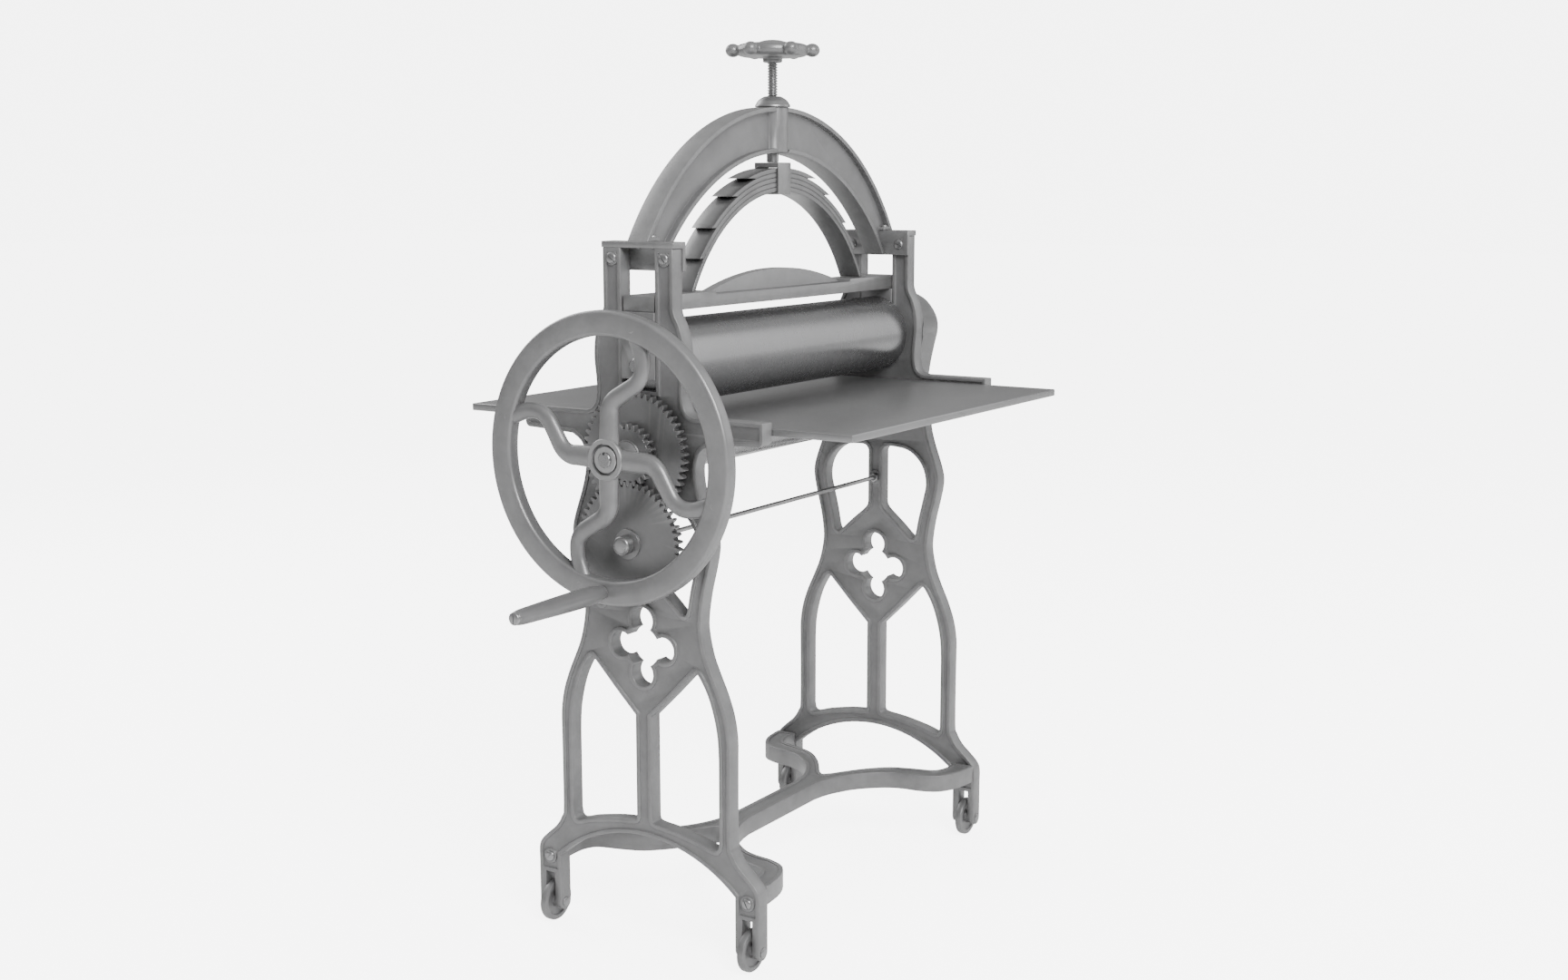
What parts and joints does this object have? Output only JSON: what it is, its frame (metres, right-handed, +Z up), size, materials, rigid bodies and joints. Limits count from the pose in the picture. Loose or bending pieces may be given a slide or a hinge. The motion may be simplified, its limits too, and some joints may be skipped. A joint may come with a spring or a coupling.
{
  "type": "etching press",
  "caption": "Standing etching press: two pierced cast frames on casters, a bed rolled between two rollers by a geared handwheel, and a screw-loaded leaf-spring head.",
  "frame": {"origin": "on the floor, under the centre of the object's box", "axes": "+X along the rollers, away from the handwheel; +Y along the bed's travel, to the back; +Z up"},
  "size_m": [1.138, 0.742, 1.476],
  "materials": {
    "frame_iron": "satin painted casting",
    "machined_iron": "machined, satin",
    "wheel_iron": "satin painted casting",
    "caster_iron": "satin",
    "bed_steel": "ground flat",
    "roller_steel": "ground round",
    "gear_iron": "cut teeth, satin",
    "fastener_steel": "turned",
    "spring_steel": "rolled, oiled",
    "screw_steel": "threaded",
    "grip_finish": "smooth, satin"
  },
  "bodies": {
    "frame": {"side_frame_near": "frame_iron", "side_frame_far": "frame_iron", "caster_axles": "fastener_steel", "stretcher": "frame_iron", "foot_screws": "fastener_steel", "tie_rod": "fastener_steel", "tie_rod_nuts": "fastener_steel", "cap_near": "machined_iron", "cap_far": "machined_iron", "cap_screws": "fastener_steel", "arch": "frame_iron", "arch_bolts": "fastener_steel", "screw_nut": "machined_iron", "lower_bushes": "machined_iron", "back_gear_stud": "fastener_steel"},
    "caster_near_front": {"caster_near_front": "caster_iron"},
    "caster_near_back": {"caster_near_back": "caster_iron"},
    "caster_far_front": {"caster_far_front": "caster_iron"},
    "caster_far_back": {"caster_far_back": "caster_iron"},
    "bed": {"bed": "bed_steel"},
    "lower_roller": {"lower_roller": "roller_steel", "roller_gear": "gear_iron", "shaft_collar": "fastener_steel"},
    "back_gear": {"back_pinion": "gear_iron", "back_gear": "gear_iron"},
    "handwheel": {"handwheel": "wheel_iron", "handwheel_pinion": "gear_iron", "handle_bolt": "fastener_steel"},
    "handle_grip": {"handle_grip": "grip_finish"},
    "head": {"bearing_block_near": "machined_iron", "bearing_block_far": "machined_iron", "crossbar": "machined_iron", "leaf_1": "spring_steel", "leaf_2": "spring_steel", "leaf_3": "spring_steel", "leaf_4": "spring_steel", "leaf_5": "spring_steel", "spring_clamp": "machined_iron"},
    "upper_roller": {"upper_roller": "roller_steel"},
    "pressure_screw": {"pressure_screw": "screw_steel", "star_handle": "wheel_iron"}
  },
  "joints": [
    {"name": "handwheel_turn", "type": "hinge", "parent": "frame", "child": "handwheel", "pos_m": [-0.344, 0, 0.82], "axis": [1, 0, 0], "range_deg": [-1850, 1850]},
    {"name": "bed_travel", "type": "slide", "parent": "frame", "child": "bed", "axis": [0, 1, 0], "range_m": [-0.298, 0.298]},
    {"name": "lower_roller_turn", "type": "hinge", "parent": "frame", "child": "lower_roller", "pos_m": [0.121, 0, 0.82], "axis": [1, 0, 0], "range_deg": [-427, 427]},
    {"name": "back_gear_turn", "type": "hinge", "parent": "frame", "child": "back_gear", "pos_m": [-0.289, 0, 0.6794], "axis": [1, 0, 0], "range_deg": [-889, 889]},
    {"name": "screw_turn", "type": "hinge", "parent": "head", "child": "pressure_screw", "pos_m": [0.121, 0, 1.3], "axis": [0, 0, 1], "range_deg": [-1321, 0]},
    {"name": "head_lift", "type": "slide", "parent": "frame", "child": "head", "axis": [0, 0, 1], "range_m": [-0.0165, 0]},
    {"name": "upper_roller_turn", "type": "hinge", "parent": "head", "child": "upper_roller", "pos_m": [0.121, 0, 0.9575], "axis": [1, 0, 0], "range_deg": [-249, 249]},
    {"name": "grip_spin", "type": "hinge", "parent": "handwheel", "child": "handle_grip", "pos_m": [-0.459, 0.007, 0.612], "axis": [1, 0, 0], "continuous": true},
    {"name": "caster_near_front_roll", "type": "hinge", "parent": "frame", "child": "caster_near_front", "pos_m": [-0.254, -0.1995, 0.035], "axis": [0, 1, 0], "continuous": true},
    {"name": "caster_near_back_roll", "type": "hinge", "parent": "frame", "child": "caster_near_back", "pos_m": [-0.254, 0.1995, 0.035], "axis": [0, 1, 0], "continuous": true},
    {"name": "caster_far_front_roll", "type": "hinge", "parent": "frame", "child": "caster_far_front", "pos_m": [0.496, -0.1995, 0.035], "axis": [0, 1, 0], "continuous": true},
    {"name": "caster_far_back_roll", "type": "hinge", "parent": "frame", "child": "caster_far_back", "pos_m": [0.496, 0.1995, 0.035], "axis": [0, 1, 0], "continuous": true}
  ],
  "couplings": [
    {"joint": "bed_travel", "follows": "handwheel_turn", "m_per_rad": -0.009216},
    {"joint": "lower_roller_turn", "follows": "handwheel_turn", "ratio": 0.2304},
    {"joint": "back_gear_turn", "follows": "handwheel_turn", "ratio": -0.48},
    {"joint": "upper_roller_turn", "follows": "handwheel_turn", "ratio": -0.13434},
    {"joint": "screw_turn", "follows": "head_lift", "rad_per_m": 1396.3}
  ]
}
